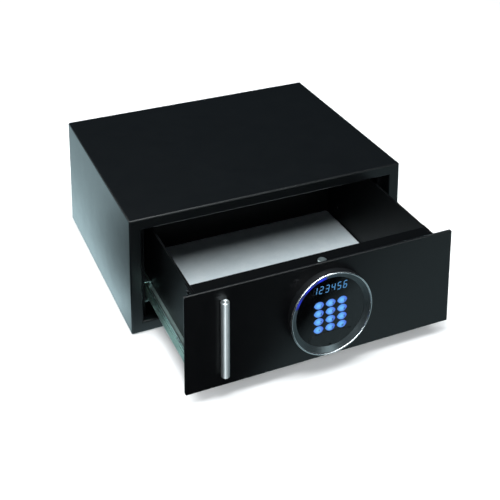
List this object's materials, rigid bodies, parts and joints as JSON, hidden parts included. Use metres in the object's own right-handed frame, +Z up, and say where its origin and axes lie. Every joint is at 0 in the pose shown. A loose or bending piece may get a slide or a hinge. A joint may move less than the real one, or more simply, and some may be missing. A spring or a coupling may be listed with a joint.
{
  "type": "in-room drawer safe",
  "caption": "Low black steel box safe for a hotel room with a front drawer on ball-bearing slides, a round lit keypad, a bar handle and a motor-driven bolt.",
  "frame": {"origin": "centre of the cabinet's underside, which is also the centre of the four base anchor holes", "axes": "+X to the right seen from the front, +Y from the front to the back, so the drawer opens along -Y, +Z up"},
  "size_m": [0.48, 0.5625, 0.197],
  "materials": {
    "black_paint": "satin powder coat",
    "zinc_steel": "zinc plated",
    "screw_steel": "zinc plated",
    "bearing_steel": "polished",
    "brass": "machined",
    "rubber": "matte",
    "felt": "needle felt",
    "satin_aluminium": "satin anodised",
    "bolt_steel": "nickel plated",
    "chrome": "polished",
    "bezel_silver": "satin",
    "gloss_black": "gloss",
    "status_blue": "lit light guide",
    "key_blue": "lit from behind",
    "black_plastic": "moulded",
    "circuit_board": "solder mask",
    "battery_sleeve": "printed sleeve without text",
    "motor_case": "plain",
    "guide_plastic": "acetal"
  },
  "bodies": {
    "cabinet": {"cabinet_wrap": "black_paint", "rear_panel": "black_paint", "slide_bracket_left": "zinc_steel", "slide_bracket_right": "zinc_steel", "slide_outer_left": "zinc_steel", "slide_outer_right": "zinc_steel", "cabinet_screws": "screw_steel", "strike_bracket": "zinc_steel", "rear_bumpers": "rubber"},
    "drawer": {"drawer_tray": "black_paint", "drawer_panel": "black_paint", "front_bracket_left": "black_paint", "front_bracket_right": "black_paint", "drawer_screws": "screw_steel", "slide_inner_left": "zinc_steel", "slide_inner_right": "zinc_steel", "slide_screws": "screw_steel", "lock_housing": "black_paint", "floor_mat": "felt", "handle_rod": "satin_aluminium", "handle_screws": "screw_steel", "keypad_housing": "black_plastic", "chrome_ring": "chrome", "bezel_ring": "bezel_silver", "status_light": "status_blue", "face_plate": "gloss_black", "display_lens": "gloss_black", "display_module": "black_plastic", "key_mat": "rubber", "keypad_board": "circuit_board", "keypad_screws": "screw_steel", "service_socket": "black_plastic", "battery_holder": "black_plastic", "batteries": "battery_sleeve", "control_board": "circuit_board", "ribbon_cable": "black_plastic", "bolt_guide": "guide_plastic", "motor_bracket": "screw_steel", "lock_motor": "motor_case"},
    "retainer_left": {"ball_retainer_left": "brass", "slide_balls_left": "bearing_steel"},
    "retainer_right": {"ball_retainer_right": "brass", "slide_balls_right": "bearing_steel"},
    "lock_bolt": {"lock_bolt": "bolt_steel"},
    "pinion": {"drive_pinion": "brass"},
    "service_cover": {"service_cover": "gloss_black"},
    "key_1": {"key_1": "key_blue"},
    "key_2": {"key_2": "key_blue"},
    "key_3": {"key_3": "key_blue"},
    "key_4": {"key_4": "key_blue"},
    "key_5": {"key_5": "key_blue"},
    "key_6": {"key_6": "key_blue"},
    "key_7": {"key_7": "key_blue"},
    "key_8": {"key_8": "key_blue"},
    "key_9": {"key_9": "key_blue"},
    "key_star": {"key_star": "key_blue"},
    "key_0": {"key_0": "key_blue"},
    "key_hash": {"key_hash": "key_blue"}
  },
  "joints": [
    {"name": "drawer_slide", "type": "slide", "parent": "cabinet", "child": "drawer", "axis": [0, -1, 0], "range_m": [-0.1805, 0.0595]},
    {"name": "retainer_left_roll", "type": "slide", "parent": "cabinet", "child": "retainer_left", "axis": [0, -1, 0], "range_m": [-0.09025, 0.02975]},
    {"name": "retainer_right_roll", "type": "slide", "parent": "cabinet", "child": "retainer_right", "axis": [0, -1, 0], "range_m": [-0.09025, 0.02975]},
    {"name": "bolt_lift", "type": "slide", "parent": "drawer", "child": "lock_bolt", "axis": [0, 0, 1], "range_m": [0, 0.018]},
    {"name": "pinion_spin", "type": "hinge", "parent": "drawer", "child": "pinion", "pos_m": [0.006, -0.334, 0.104], "axis": [-1, 0, 0], "range_deg": [0, 172]},
    {"name": "cover_pull", "type": "slide", "parent": "drawer", "child": "service_cover", "axis": [0, -1, 0], "range_m": [0, 0.02]},
    {"name": "key_1_press", "type": "slide", "parent": "drawer", "child": "key_1", "axis": [0, 1, 0], "range_m": [0, 0.0008], "stiffness_N_per_m": 1500},
    {"name": "key_2_press", "type": "slide", "parent": "drawer", "child": "key_2", "axis": [0, 1, 0], "range_m": [0, 0.0008], "stiffness_N_per_m": 1500},
    {"name": "key_3_press", "type": "slide", "parent": "drawer", "child": "key_3", "axis": [0, 1, 0], "range_m": [0, 0.0008], "stiffness_N_per_m": 1500},
    {"name": "key_4_press", "type": "slide", "parent": "drawer", "child": "key_4", "axis": [0, 1, 0], "range_m": [0, 0.0008], "stiffness_N_per_m": 1500},
    {"name": "key_5_press", "type": "slide", "parent": "drawer", "child": "key_5", "axis": [0, 1, 0], "range_m": [0, 0.0008], "stiffness_N_per_m": 1500},
    {"name": "key_6_press", "type": "slide", "parent": "drawer", "child": "key_6", "axis": [0, 1, 0], "range_m": [0, 0.0008], "stiffness_N_per_m": 1500},
    {"name": "key_7_press", "type": "slide", "parent": "drawer", "child": "key_7", "axis": [0, 1, 0], "range_m": [0, 0.0008], "stiffness_N_per_m": 1500},
    {"name": "key_8_press", "type": "slide", "parent": "drawer", "child": "key_8", "axis": [0, 1, 0], "range_m": [0, 0.0008], "stiffness_N_per_m": 1500},
    {"name": "key_9_press", "type": "slide", "parent": "drawer", "child": "key_9", "axis": [0, 1, 0], "range_m": [0, 0.0008], "stiffness_N_per_m": 1500},
    {"name": "key_star_press", "type": "slide", "parent": "drawer", "child": "key_star", "axis": [0, 1, 0], "range_m": [0, 0.0008], "stiffness_N_per_m": 1500},
    {"name": "key_0_press", "type": "slide", "parent": "drawer", "child": "key_0", "axis": [0, 1, 0], "range_m": [0, 0.0008], "stiffness_N_per_m": 1500},
    {"name": "key_hash_press", "type": "slide", "parent": "drawer", "child": "key_hash", "axis": [0, 1, 0], "range_m": [0, 0.0008], "stiffness_N_per_m": 1500}
  ],
  "couplings": [
    {"joint": "retainer_left_roll", "follows": "drawer_slide", "ratio": 0.5},
    {"joint": "retainer_right_roll", "follows": "drawer_slide", "ratio": 0.5},
    {"joint": "pinion_spin", "follows": "bolt_lift", "rad_per_m": 166.67}
  ]
}
